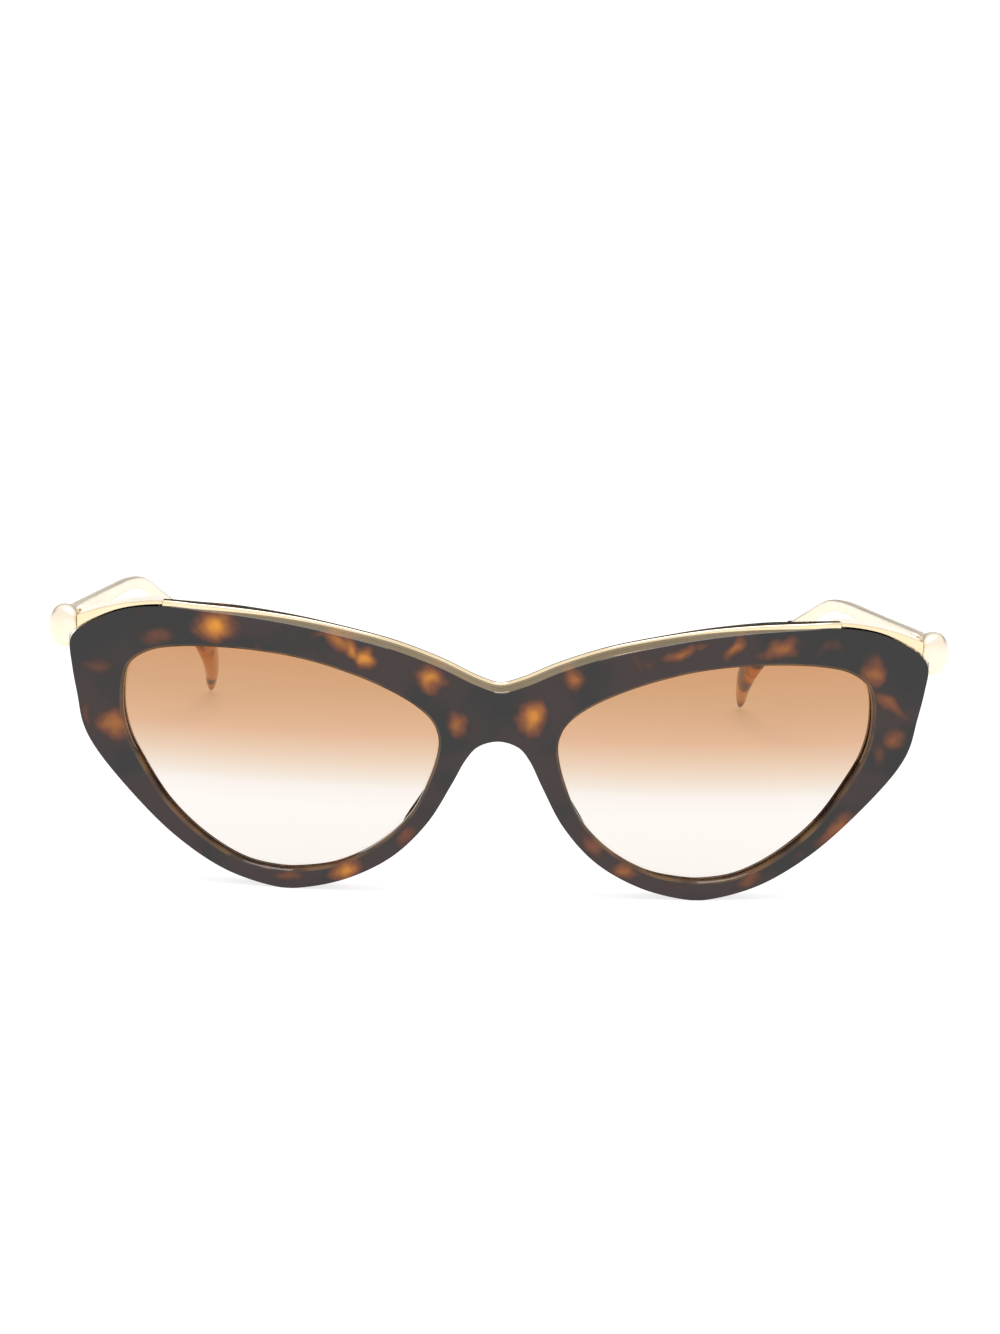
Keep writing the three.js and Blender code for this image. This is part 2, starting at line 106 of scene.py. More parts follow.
# %% Smooth curve through points
def smooth_curve(points, closed=False):
    """Returns at(u): the place on the curve, u counted in points."""
    pts = [Vector(p) for p in points]
    count = len(pts)

    def corner(i):
        if closed:
            return pts[i % count]
        if i < 0:
            return pts[0] * 2 - pts[1]
        if i >= count:
            return pts[-1] * 2 - pts[-2]
        return pts[i]

    def at(u):
        i = int(math.floor(u))
        if not closed:
            i = max(0, min(i, count - 2))
        w = u - i
        p0, p1, p2, p3 = (corner(i + k) for k in (-1, 0, 1, 2))
        d0 = max((p1 - p0).length, 1e-6) ** 0.5
        d1 = max((p2 - p1).length, 1e-6) ** 0.5
        d2 = max((p3 - p2).length, 1e-6) ** 0.5
        t1 = ((p1 - p0) / d0 - (p2 - p0) / (d0 + d1) + (p2 - p1) / d1) * d1
        t2 = ((p2 - p1) / d1 - (p3 - p1) / (d1 + d2) + (p3 - p2) / d2) * d1
        return (p1 * (2 * w**3 - 3 * w**2 + 1) + t1 * (w**3 - 2 * w**2 + w)
                + p2 * (3 * w**2 - 2 * w**3) + t2 * (w**3 - w**2))
    return at


def tangent(at, u, low=None, high=None, h=1e-3):
    a = u - h if low is None else max(low, u - h)
    b = u + h if high is None else min(high, u + h)
    return (at(b) - at(a)).normalized()


def smoothstep(x, a, b):
    t = max(0.0, min(1.0, (x - a) / (b - a)))
    return t * t * (3 - 2 * t)


def lerp(a, b, t):
    return a + (b - a) * t


# %% [markdown]
# ## Surfaces from rows
# Nearly every piece here is a stack of equal rows of points, joined by quads. Sections with sharp
# corners are rounded first, because a real edge is never sharp and a rounded one catches light.

# %% Rounded profiles and lofted surfaces
def rounded(profile, radii, steps=3, closed=False):
    """A section with its corners rounded. Every corner gives steps + 1 points, so rows match."""
    pts = [Vector(p) for p in profile]
    out = []
    n = len(pts)
    for i, p in enumerate(pts):
        if not closed and i in (0, n - 1):
            out.append(p)
            continue
        a, b = pts[i - 1] - p, pts[(i + 1) % n] - p
        reach = min(radii[i], a.length * 0.45, b.length * 0.45)
        start, end = p + a.normalized() * reach, p + b.normalized() * reach
        for k in range(steps + 1):
            t = k / steps
            out.append(start.lerp(p, t).lerp(p.lerp(end, t), t))
    return out


def new_object(name, verts, faces, material=None, light_through=None):
    """A mesh from points in metres: doubles merged, normals out."""
    mesh = bpy.data.meshes.new(name)
    mesh.from_pydata([tuple(v) for v in verts], [], faces)
    # The point attribute marks where the acetate gets its painted glow of light shining through.
    if light_through:
        mesh.attributes.new("light_through", "FLOAT", "POINT").data.foreach_set("value", light_through)
    obj = bpy.data.objects.new(name, mesh)
    bpy.context.collection.objects.link(obj)
    tidy(mesh)
    if material:
        mesh.materials.append(material)
    return obj


def tidy(mesh, gap=2e-7):
    bm = bmesh.new()
    bm.from_mesh(mesh)
    bmesh.ops.remove_doubles(bm, verts=bm.verts, dist=gap)
    bmesh.ops.dissolve_degenerate(bm, edges=bm.edges, dist=1e-8)
    bmesh.ops.recalc_face_normals(bm, faces=bm.faces)
    bm.to_mesh(mesh)
    bm.free()


def evaluated_mesh(obj):
    bpy.context.view_layer.update()
    graph = bpy.context.evaluated_depsgraph_get()
    return bpy.data.meshes.new_from_object(obj.evaluated_get(graph), depsgraph=graph)


def smooth_shade(obj, degrees=32):
    """Smooth shading that leaves flats flat: big faces decide the normals at their own edges."""
    mesh = obj.data
    mesh.polygons.foreach_set("use_smooth", [True] * len(mesh.polygons))
    mesh.set_sharp_from_angle(angle=math.radians(degrees))
    weighted = obj.modifiers.new("flat stays flat", "WEIGHTED_NORMAL")
    weighted.mode, weighted.weight, weighted.keep_sharp = "FACE_AREA", 90, True
    obj.data = evaluated_mesh(obj)
    obj.modifiers.clear()


def loft(rows, around=True, caps=True):
    """Points and quads from equal rows; `around` closes each row, `caps` fills the two ends."""
    n = len(rows[0])
    verts = [p for row in rows for p in row]
    faces = []
    for i in range(len(rows) - 1):
        for j in range(n if around else n - 1):
            k = (j + 1) % n
            faces.append((i * n + j, (i + 1) * n + j, (i + 1) * n + k, i * n + k))
    if caps:
        faces.append(tuple(range(n)))
        faces.append(tuple((len(rows) - 1) * n + j for j in reversed(range(n))))
    return verts, faces


# %% [markdown]
# ## Geometry Nodes: bending the front
# A front like this is cut flat and then heated and pressed over a form. The lesson does the same:
# pieces are drawn flat (x across, y as depth behind the face, z up) and one node tree bends them
# over a vertical cylinder. The radius and the place of the foremost line are its inputs. Each
# point turns about the cylinder's axis by its x over the radius, taken as the sine of the angle.

# %% A small builder for node trees
class Nodes:
    """Adds nodes to self.tree; a value that is a socket is linked, any other value is set."""

    def node(self, kind, values=None, **settings):
        made = self.tree.nodes.new(kind)
        for key, value in settings.items():
            setattr(made, key, value)
        for key, value in (values or {}).items():
            self.feed(made.inputs[key], value)
        return made

    def feed(self, socket, value):
        if isinstance(value, bpy.types.NodeSocket):
            self.tree.links.new(value, socket)
        else:
            socket.default_value = value

    def math(self, operation, a, b=0.0):
        return self.node("ShaderNodeMath", {0: a, 1: b}, operation=operation).outputs[0]

    def vector(self, operation, a, b=None, scale=None):
        made = self.node("ShaderNodeVectorMath", {0: a}, operation=operation)
        if b is not None:
            self.feed(made.inputs[1], b)
        if scale is not None:
            self.feed(made.inputs["Scale"], scale)
        return made.outputs["Value" if operation in ("DOT_PRODUCT", "LENGTH") else "Vector"]


class Tree(Nodes):
    """A Geometry Nodes tree with named inputs; it ends in Realize Instances and Set Material."""

    def __init__(self, name, inputs):
        self.tree = bpy.data.node_groups.new(name, "GeometryNodeTree")
        face = self.tree.interface
        face.new_socket("Geometry", in_out="INPUT", socket_type="NodeSocketGeometry")
        for label, kind, value in inputs:
            socket = face.new_socket(label, in_out="INPUT", socket_type="NodeSocket" + kind)
            if value is not None:
                socket.default_value = value
        face.new_socket("Geometry", in_out="OUTPUT", socket_type="NodeSocketGeometry")
        self.source = self.tree.nodes.new("NodeGroupInput").outputs
        self.sink = self.tree.nodes.new("NodeGroupOutput").inputs

    def close(self, geometry):
        real = self.node("GeometryNodeRealizeInstances", {"Geometry": geometry})
        coat = self.node("GeometryNodeSetMaterial", {"Geometry": real.outputs[0],
                                                     "Material": self.source["Material"]})
        self.tree.links.new(coat.outputs[0], self.sink[0])


def run_tree(obj, tree, values):
    """Puts the tree on the object, sets its inputs by identifier and keeps the result as a mesh."""
    names = {item.name: item.identifier for item in tree.tree.interface.items_tree
             if item.item_type == "SOCKET" and item.in_out == "INPUT"}
    modifier = obj.modifiers.new(tree.tree.name, "NODES")
    modifier.node_group = tree.tree
    for label, value in values.items():
        modifier[names[label]] = value
    result = evaluated_mesh(obj)
    obj.modifiers.clear()
    obj.data = result
    tidy(obj.data)
    return obj


# %% The bending tree
FACE_RADIUS = 350 * MM

def bending_tree():
    t = Tree("bend the front", [("Material", "Material", None), ("Face radius", "Float", FACE_RADIUS),
                                ("Foremost line", "Float", FOREMOST)])
    radius = t.source["Face radius"]
    place = t.node("GeometryNodeInputPosition").outputs[0]
    flat = t.node("ShaderNodeSeparateXYZ", {0: place}).outputs
    turn = t.math("DIVIDE", flat[0], radius)
    reach = t.math("SUBTRACT", radius, flat[1])
    across = t.math("MULTIPLY", reach, turn)
    cosine = t.math("SQRT", t.math("SUBTRACT", 1.0, t.math("MULTIPLY", turn, turn)))
    back = t.math("SUBTRACT", radius, t.math("MULTIPLY", reach, cosine))
    back = t.math("ADD", back, t.source["Foremost line"])
    bent = t.node("ShaderNodeCombineXYZ", {0: across, 1: back, 2: flat[2]})
    moved = t.node("GeometryNodeSetPosition", {"Geometry": t.source["Geometry"],
                                               "Position": bent.outputs[0]})
    t.close(moved.outputs[0])
    return t

BEND = bending_tree()

def bend_piece(obj, material, degrees=32):
    obj = run_tree(obj, BEND, {"Material": material, "Face radius": FACE_RADIUS,
                               "Foremost line": FOREMOST})
    smooth_shade(obj, degrees)
    return obj


def bend_point(x, depth, z):
    """The same bend for one point given in millimetres."""
    a = math.asin(x * MM / FACE_RADIUS)
    r = FACE_RADIUS - depth * MM
    return Vector((r * math.sin(a), FOREMOST + FACE_RADIUS - r * math.cos(a), z * MM))


# %% [markdown]
# ## Material: tortoise acetate
# Tortoise sheet is made of dark and honey coloured acetate chips pressed together, so its spots
# are soft edged, reddish where thin and amber in the middle. The large spots sit where they show
# on this front; smaller ones come from noise. All of it reads Object coordinates, so the pattern
# runs through the thickness as in a real sheet. The polish is a clear reflection with almost no
# roughness and the faintest waviness.
# The walls of the openings and the nose pads are painted a lighter olive-brown, a painted glow of light
# shining through the thin acetate.

# %% Node helpers for materials
class Finish(Nodes):
    """A material that is built node by node."""

    def __init__(self, name):
        self.material = bpy.data.materials.new(name)
        self.material.use_nodes = True
        self.tree = self.material.node_tree
        self.tree.nodes.clear()
        self.out = self.tree.nodes.new("ShaderNodeOutputMaterial")

    def mapped(self, value, low, high, to_low=0.0, to_high=1.0, kind="SMOOTHSTEP"):
        limits = {"From Min": low, "From Max": high, "To Min": to_low, "To Max": to_high}
        made = self.node("ShaderNodeMapRange", {"Value": value, **limits}, interpolation_type=kind)
        return made.outputs["Result"]

    def ramp(self, factor, stops):
        made = self.node("ShaderNodeValToRGB", {"Fac": factor})
        elements = made.color_ramp.elements
        while len(elements) < len(stops):
            elements.new(0.5)
        for element, (at, colour) in zip(elements, stops):
            element.position = at
            element.color = (*colour, 1)
        return made.outputs["Color"]

    def blend(self, factor, a, b):
        made = self.node("ShaderNodeMix", data_type="RGBA")
        self.feed(made.inputs["Factor"], factor)
        self.feed(made.inputs["A"], a)
        self.feed(made.inputs["B"], b)
        return made.outputs["Result"]

    def noise(self, vector, scale, detail=2.0, rough=0.5, warp=0.0):
        made = self.node("ShaderNodeTexNoise", {"Vector": vector, "Scale": scale, "Detail": detail,
                                                "Roughness": rough, "Distortion": warp})
        return made

    def millimetres(self):
        place = self.node("ShaderNodeTexCoord").outputs["Object"]
        return self.vector("SCALE", place, scale=1000.0)

    def finish(self, shader):
        self.tree.links.new(shader, self.out.inputs["Surface"])
        return self.material


# %% The spots of the sheet
# (x, z, half width, half height, turn in degrees, strength)
SPOTS = [
    (-47.7, 44.6, 2.6, 2.4, 0, 1.0), (-50.5, 44.2, 1.6, 1.2, 0, 0.35), (-57.5, 42.2, 2.6, 1.4, 10, 0.35),
    (-27.2, 42.8, 2.6, 1.2, -30, 0.7), (-24.9, 41.9, 2.2, 1.2, -42, 0.8), (-22.6, 40.3, 1.9, 1.5, -50, 0.95),
    (-30.0, 43.9, 1.8, 0.8, -15, 0.35),
    (-11.9, 37.5, 2.3, 1.9, -15, 0.85), (-6.9, 29.8, 1.3, 2.3, 20, 0.6), (-67.6, 36.4, 2.4, 1.0, 15, 0.3),
    (-64.7, 26.6, 2.2, 2.2, 30, 0.65), (-69.2, 27.6, 0.9, 2.4, 10, 0.3), (-59.5, 14.6, 1.6, 1.0, -45, 0.12),
    (-24.9, 3.8, 2.3, 1.5, 15, 0.85), (-34.5, 2.0, 3.0, 1.0, 0, 0.4), (-14.8, 10.2, 1.8, 1.2, 45, 0.4),
    (5.4, 31.4, 2.0, 2.3, 0, 0.9), (12.3, 38.0, 1.6, 1.9, 20, 0.65), (24.6, 41.0, 1.8, 1.1, 25, 0.25),
    (29.6, 43.2, 2.6, 1.1, 20, 0.6), (33.0, 44.4, 1.6, 0.9, 10, 0.35), (38.9, 43.9, 1.2, 2.2, -30, 0.65),
    (46.8, 43.9, 2.9, 1.4, 20, 0.6), (43.4, 42.8, 1.3, 1.0, 0, 0.3), (63.1, 39.9, 1.7, 2.2, 0, 0.6),
    (66.0, 34.0, 3.6, 1.1, -35, 0.5), (67.1, 28.2, 2.2, 1.6, 35, 0.5), (64.4, 25.2, 1.2, 2.2, 20, 0.3),
    (58.0, 12.4, 3.4, 1.2, 42, 0.55), (43.6, 3.6, 2.4, 1.0, 25, 0.4), (21.9, 5.2, 2.0, 1.2, -20, 0.6),
    (16.6, 9.4, 2.6, 1.2, -52, 0.45), (31.0, 2.2, 2.4, 0.8, 5, 0.2), (52.0, 8.0, 1.8, 0.9, 35, 0.2),
]
DARK = (0.0085, 0.0085, 0.008, 1)
PLUM = (0.027, 0.0135, 0.0125, 1)
# Painted light: the olive-brown of light shining through thin acetate, laid on the opening walls and the
# nose pads.
PAINTED_GLOW = (0.17, 0.085, 0.030, 1)
CALM = [(-70, 41, 8), (69, 41, 8), (0, 33, 6), (-60, 45, 5), (-63, 20, 4), (60, 46, 5)]
HONEY = [(0.0, (0.0, 0.0, 0.0)), (0.22, (0.045, 0.014, 0.007)), (0.45, (0.15, 0.040, 0.008)),
         (0.70, (0.34, 0.11, 0.008)), (1.0, (0.70, 0.26, 0.012))]


def acetate(name, spots, loose, glow=(1, 1, 1)):
    """Tortoise acetate: placed spots, `loose` small ones elsewhere, `glow` of the honey colour."""
    f = Finish(name)
    place = f.millimetres()
    wave = f.vector("SUBTRACT", f.noise(place, 0.26, 2.5).outputs["Color"], (0.5, 0.5, 0.5))
    warped = f.vector("ADD", place, f.vector("MULTIPLY", wave, (3.4, 0.0, 3.4)))

    def near(x, z, wide, high, turn, edge, core):
        away = f.vector("SUBTRACT", warped, (x, 0, z))
        if turn:
            away = f.node("ShaderNodeVectorRotate", {"Vector": away, "Angle": math.radians(turn)},
                          rotation_type="Y_AXIS").outputs[0]
        span = f.vector("LENGTH", f.vector("MULTIPLY", away, (1 / wide, 0, 1 / high)))
        return f.mapped(span, edge, 0.0, 0.0, core)

    honey = f.mapped(f.noise(place, 0.13, 2.0, 0.5, 0.4).outputs["Fac"], 0.62 - 0.32 * loose,
                     0.80 - 0.24 * loose, 0.0, 0.2 + 0.7 * loose)
    for x, z, wide, high, turn, strength in spots:
        honey = f.math("MAXIMUM", honey, near(x, z, wide, high, turn, 2.0, strength))
    plum = f.mapped(f.noise(place, 0.085, 2.0, 0.5, 0.3).outputs["Fac"], 0.36, 0.56)
    for x, z, reach in CALM if spots else []:
        plum = f.math("MULTIPLY", plum, f.math("SUBTRACT", 1.0, near(x, z, reach, reach, 0, 1.3, 1.0)))
    # Painted glow: where the mesh attribute marks the opening walls and nose pads, the colour turns
    # olive-brown as if lit through thin acetate.
    light_through = f.node("ShaderNodeAttribute", attribute_name="light_through").outputs["Fac"]
    wall = f.mapped(f.noise(place, 0.16, 2.0).outputs["Fac"], 0.35, 0.62, 0.15, 0.75)
    amber = f.ramp(honey, [(at, [c * g for c, g in zip(colour, glow)]) for at, colour in HONEY])
    base = f.blend(plum, DARK, PLUM)
    colour = f.blend(f.mapped(honey, 0.02, 0.3), base, amber)
    colour = f.blend(f.math("MULTIPLY", light_through, wall), colour, PAINTED_GLOW)
    ripple = f.noise(place, 0.25, 1.0).outputs["Fac"]
    bump = f.node("ShaderNodeBump", {"Strength": 0.02, "Distance": 0.0002, "Height": ripple})
    haze = f.mapped(f.noise(place, 1.7, 3.0).outputs["Fac"], 0.3, 0.7, 0.03, 0.07, "LINEAR")
    shader = f.node("ShaderNodeBsdfPrincipled", {"Base Color": colour, "Roughness": haze,
                                                 "IOR": 1.49, "Normal": bump.outputs[0]})
    return f.finish(shader.outputs[0])

ACETATE = acetate("tortoise acetate", SPOTS, 0.1)
TIP_ACETATE = acetate("tortoise acetate of the tips", [], 1.0, (1.08, 1.38, 1.2))
print("acetate with", len(SPOTS), "placed spots")

# %% [markdown]
# ## Material: polished gold plating
# Pale gold, nearly a mirror. What makes it look real is what it mirrors, so the material stays
# simple: a warm base, a trace of polishing marks in the roughness and a slight waviness. The
# temples and hinge caps get the same recipe in a paler, satin version that blurs what it mirrors.

# %% Gold
def gold_plating(name, low, high, rough_low, rough_high):
    f = Finish(name)
    place = f.millimetres()
    marks = f.noise(f.vector("MULTIPLY", place, (1.0, 6.0, 6.0)), 1.3, 3.0).outputs["Fac"]
    rough = f.mapped(marks, 0.3, 0.7, rough_low, rough_high, "LINEAR")
    tone = f.mapped(f.noise(place, 0.2, 2.0).outputs["Fac"], 0.35, 0.65)
    colour = f.blend(tone, (*low, 1), (*high, 1))
    bump = f.node("ShaderNodeBump", {"Strength": 0.03, "Distance": 0.0001,
                                     "Height": f.noise(place, 0.6, 2.0).outputs["Fac"]})
    shader = f.node("ShaderNodeBsdfPrincipled", {"Base Color": colour, "Metallic": 1.0,
                                                 "Roughness": rough, "Normal": bump.outputs[0]})
    return f.finish(shader.outputs[0])

GOLD = gold_plating("pale gold plating", (0.90, 0.73, 0.47), (0.93, 0.77, 0.52), 0.07, 0.13)
SATIN = gold_plating("satin pale gold", (0.94, 0.83, 0.66), (0.96, 0.86, 0.71), 0.32, 0.42)

# %% [markdown]
# ## Material: gradient lens
# A sun lens is dyed by dipping, so the brown is even at the top and fades out below the middle.
# The tint is a see-through shader coloured by height; a second layer adds the reflection of clear
# plastic. Both faces of the lens tint the light, so each carries the square root of the colour.

# %% Lens
LENS_TOP = 42.0                                # height, in millimetres, where the dye is darkest

def gradient_lens():
    f = Finish("brown gradient lens")
    place = f.millimetres()
    height = f.node("ShaderNodeSeparateXYZ", {0: place}).outputs["Z"]
    stops = [(0.0, (0.915, 0.892, 0.872)), (0.34, (0.912, 0.889, 0.868)), (0.42, (0.893, 0.862, 0.838)),
             (0.455, (0.872, 0.82, 0.765)), (0.54, (0.837, 0.728, 0.632)), (0.655, (0.797, 0.615, 0.478)),
             (0.81, (0.746, 0.559, 0.397)), (1.0, (0.727, 0.512, 0.348))]
    dye = f.ramp(f.mapped(height, 0.0, LENS_TOP, kind="LINEAR"), stops)
    tint = f.node("ShaderNodeBsdfTransparent", {"Color": dye})
    shine = f.node("ShaderNodeBsdfGlossy", {"Color": (1, 1, 1, 1), "Roughness": 0.0})
    fresnel = f.node("ShaderNodeFresnel", {"IOR": 1.45}).outputs[0]
    outside = f.math("SUBTRACT", 1.0, f.node("ShaderNodeNewGeometry").outputs["Backfacing"])
    mixed = f.node("ShaderNodeMixShader", {0: f.math("MULTIPLY", fresnel, outside),
                                           1: tint.outputs[0], 2: shine.outputs[0]})
    return f.finish(mixed.outputs[0])

LENS_TINT = gradient_lens()

# %% [markdown]
# ## The acetate front
# One sheet of acetate holds both lenses. Outline and opening are drawn as pairs of points on the
# left half, so rows run straight from one edge to the other. The top edge carries a channel for
# the brow bar: at the back over the nose, moving forward towards the corners, with a lip of
# acetate behind it.

# %% The rim drawing
RIM = [
    (0, 35.4, 10.5, 29.4), (4, 36.5, 11.8, 31.1), (10, 39.2, 14.8, 33.4), (18, 42, 20.2, 36.1),
    (26, 43.9, 26.7, 38.4), (34, 45.4, 33.6, 40.1), (42, 46.4, 41, 41), (50, 47, 48, 41.2),
    (57, 47.3, 54, 40.9), (63, 46.5, 58.3, 40.1), (67.5, 44.7, 61.1, 38.7), (71.2, 42.3, 62.7, 37.1),
    (72.4, 40.4, 63.4, 35.1), (72, 36, 63.7, 32.5), (71, 31, 63.5, 28.4), (70, 26.3, 62.4, 24.4),
    (68.1, 22.6, 60.5, 20.8), (62, 15.4, 55.4, 13.3), (53.7, 7.7, 48.7, 7.4), (45, 2.4, 42, 3.9),
    (36.3, 0, 36, 2.9), (33.1, 0, 33, 3), (25.1, 1.95, 26.4, 4.3), (17.2, 6.3, 19.4, 8.2),
    (11.4, 12.5, 13.9, 13.9), (7.6, 19.3, 11.1, 20), (5.3, 23.8, 10, 23.8), (3.4, 26, 9.7, 26),
    (0, 27, 9.8, 27.4),
]
FRONT_THICK = 4.5
BROW_END, CORNER_END = 8, 11
half = [(x, 0, z) for x, z, _, _ in RIM]
other = [(-x, 0, z) for x, z, _, _ in reversed(RIM[1:-1])]
outline = smooth_curve(half + other, closed=True)
opening = smooth_curve([(x, 0, z) for _, _, x, z in RIM] + [(10.1, 0, 28.4)], closed=True)


def station(u):
    """One row of the rim: outer point and its outward normal, opening point and its normal."""
    o, t = outline(u), tangent(outline, u)
    i, s = opening(u), tangent(opening, u)
    if u in (0, LAST):
        t = Vector((math.copysign(1, t.x), 0, 0))
    return {"u": u, "x": o.x, "z": o.z, "nx": -t.z, "nz": t.x,
            "ix": i.x, "iz": i.z, "mx": s.z, "mz": -s.x, "seam": False}


def rim_stations(spacing=0.8):
    """Rows all round the left rim, the last few across the middle of the bridge."""
    stations = []
    for k in range(LAST):
        length = math.hypot(RIM[k][0] - RIM[k + 1][0], RIM[k][1] - RIM[k + 1][1])
        steps = max(4, round(length / spacing))
        stations += [station(k + s / steps) for s in range(steps)]
    stations.append(station(LAST))
    for k in range(1, 8):
        w = k / 8
        i = opening(LAST + 2 * w)
        s = tangent(opening, LAST + 2 * w)
        stations.append({"u": LAST + w, "x": 0.0, "z": lerp(RIM[-1][1], RIM[0][1], w), "nx": 0, "nz": 0,
                         "ix": i.x, "iz": i.z, "mx": s.z, "mz": -s.x, "seam": True})
    return stations

LAST = len(RIM) - 1
STATIONS = rim_stations()
print("rim rows", len(STATIONS))

# %% Channel of the brow bar
BAR_RISE, BAR_SUNK, SEAT = 0.9, 0.35, 0.03

def bar_front(x):
    return max(0.32, 3.5 * (1 - (x / 55) ** 2))

def bar_back(x):
    return bar_front(x) + 1.0 + 0.8 * min(1.0, (x / 40) ** 2)

def lip_rise(x):
    return (BAR_RISE - 0.15 + BAR_SUNK) * smoothstep(x, 13, 24) - BAR_SUNK - 0.45 * smoothstep(x, 44, 57)


def outer_section(s):
    """Outer wall from the face to the back: (outward, depth)."""
    x, back = s["x"], FRONT_THICK
    if s["u"] <= BROW_END:
        floor = -BAR_SUNK - SEAT
        lip = max(floor + 0.001, lip_rise(x))
        a = max(0.27, bar_front(x) - SEAT)
        b = min(back - 0.06, bar_back(x) + SEAT)
        edge = min(0.3, (back - b) * 0.5)
        corners = [(-0.4, 0), (0, 0), (0, a), (floor, a - 0.001), (floor, b + 0.001),
                   (lip, b), (lip, back), (lip - 0.4, back)]
        return rounded(corners, [0, 0.25, 0.05, 0.001, 0.001, 0.06, edge, 0])
    corners = [(-0.4, 0), (0, 0), (0, 1.2), (0, 1.6), (0, 2.6), (0, 3.2), (0, back), (-0.4, back)]
    return rounded(corners, [0, 0.25, 0.05, 0.05, 0.05, 0.05, 0.3, 0])


OPENING_SECTION = rounded(
    [(-0.12, 0), (0, 0), (0.35, 0.35), (0.35, 1.45), (-0.55, 1.45), (-0.55, 3.5), (-0.1, 3.5),
     (-0.1, 4.5), (-0.6, 4.5)], [0, 0.05, 0.12, 0.05, 0.02, 0.02, 0.05, 0.3, 0])

# %% Front surface
def front_half(side):
    spread = [0.0, 0.06, 0.2, 0.4, 0.6, 0.8, 0.94, 1.0]
    rows = []
    for s in STATIONS:
        if s["seam"]:
            outer = [Vector((0, 0, s["z"])), Vector((0, FRONT_THICK, s["z"]))]
        else:
            outer = [Vector((s["x"] + s["nx"] * o, d, s["z"] + s["nz"] * o)) for o, d in outer_section(s)]
        inner = [Vector((s["ix"] + s["mx"] * o, d, s["iz"] + s["mz"] * o)) for o, d in OPENING_SECTION]
        face = [outer[0].lerp(inner[0], t) for t in spread]
        back = [outer[-1].lerp(inner[-1], t) for t in spread]
        rows.append((outer, face, inner, back))
    verts, faces, light_through = [], [], []

    def strip(p, q, glow):
        base = len(verts)
        light_through.extend(glow + glow)
        verts.extend(p + q)
        n = len(p)
        faces.extend((base + j, base + n + j, base + n + j + 1, base + j + 1) for j in range(n - 1))

    for k, row in enumerate(rows):
        after = rows[(k + 1) % len(rows)]
        strip(row[1], after[1], [0] * len(spread))
        # The bevel and walls of the opening get the painted glow of light through thin acetate.
        strip(row[2], after[2], [0] + [1] * (len(row[2]) - 1))
        strip(row[3], after[3], [0] * len(spread))
        if len(row[0]) == len(after[0]) and len(row[0]) > 2:
            strip(row[0], after[0], [0] * len(row[0]))
    verts = [Vector((v.x * side, v.y, v.z)) * MM for v in verts]
    return verts, faces, light_through


left_verts, left_faces, left_light_through = front_half(1)
right_verts, right_faces, right_light_through = front_half(-1)
shift = len(left_verts)
acetate_front = new_object("acetate_front", left_verts + right_verts,
                           left_faces + [tuple(i + shift for i in f) for f in right_faces],
                           light_through=left_light_through + right_light_through)
acetate_front = bend_piece(acetate_front, ACETATE)
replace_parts(acetate_front, "front_frame")
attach(acetate_front, "front")
print("front faces", len(acetate_front.data.polygons))

# %% [markdown]
# ## The lenses
# Each lens is a thin curved disc whose edge sits in the groove of the rim. Rings run from the
# middle to the edge; the middle comes forward of the edge as in a ground lens.

# %% Lenses
LENS_FRONT, LENS_THICK, LENS_BULGE = 1.65, 1.7, 1.5
LENS_MIDDLE = Vector((37, 0, 21))

def lens_solid(side, name):
    edge = [Vector((s["ix"] - s["mx"] * 0.45, 0, s["iz"] - s["mz"] * 0.45)) for s in STATIONS[::2]]
    rings = [0.06, 0.15, 0.28, 0.42, 0.56, 0.68, 0.79, 0.88, 0.95, 0.985, 1.0]

    def ring(f, extra):
        depth = LENS_FRONT - LENS_BULGE * (1 - f * f) + extra
        row = [LENS_MIDDLE.lerp(p, f) + Vector((0, depth, 0)) for p in edge]
        return [Vector((p.x * side, p.y, p.z)) * MM for p in row]

    rows = [ring(f, 0) for f in rings] + [ring(f, LENS_THICK) for f in reversed(rings)]
    verts, faces = loft(rows, caps=False)
    n = len(edge)
    for first, extra in ((0, 0), ((len(rows) - 1) * n, LENS_THICK)):
        middle = LENS_MIDDLE + Vector((0, LENS_FRONT - LENS_BULGE + extra, 0))
        verts.append(Vector((middle.x * side, middle.y, middle.z)) * MM)
        faces += [(first + j, first + (j + 1) % n, len(verts) - 1) for j in range(n)]
    lens = bend_piece(new_object(name, verts, faces), LENS_TINT, 40)
    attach(lens, "front")
    return lens

for side, word in ((1, "left"), (-1, "right")):
    lens = lens_solid(side, f"sun_lens_{word}")
    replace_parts(lens, f"lens_{word}")
    print(lens.name, len(lens.data.polygons))

# %% [markdown]
# ## Brow bar and endpieces
# The bar is one gold wire with softly broken edges lying in its channel. At each corner it meets
# a solid endpiece whose front face widens towards the hinge and which turns down behind the
# acetate.

# %% Brow bar
def brow_bar():
    rows = []
    for s in [q for q in STATIONS if q["u"] < BROW_END] + [station(BROW_END - 0.008)]:
        x = s["x"]
        a, b = bar_front(x), bar_back(x)
        section = rounded([(-BAR_SUNK, a), (BAR_RISE, a), (BAR_RISE, b), (-BAR_SUNK, b)],
                          [0.05, 0.4, 0.25, 0.05], 5, closed=True)
        rows.append([Vector((x + s["nx"] * o, d, s["z"] + s["nz"] * o)) * MM for o, d in section])
    mirror = [[Vector((-p.x, p.y, p.z)) for p in row] for row in reversed(rows[1:])]
    verts, faces = loft(mirror + rows)
    bar = bend_piece(new_object("gold_brow_bar", verts, faces), GOLD)
    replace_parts(bar, "brow_bar")
    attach(bar, "front")
    return bar

print("brow bar", len(brow_bar().data.polygons))

# %% Endpieces
PLATE_BACK = 13.2                              # depth of the flat rear plane that the hinge sits on
CORNER_STEPS = 4

def end_top(x):
    return 48.2 - 0.0145 * max(0, x - 56) ** 2

def end_fall(x):
    return 0.98 - 0.055 * (x - 57)             # the top slopes down towards the back


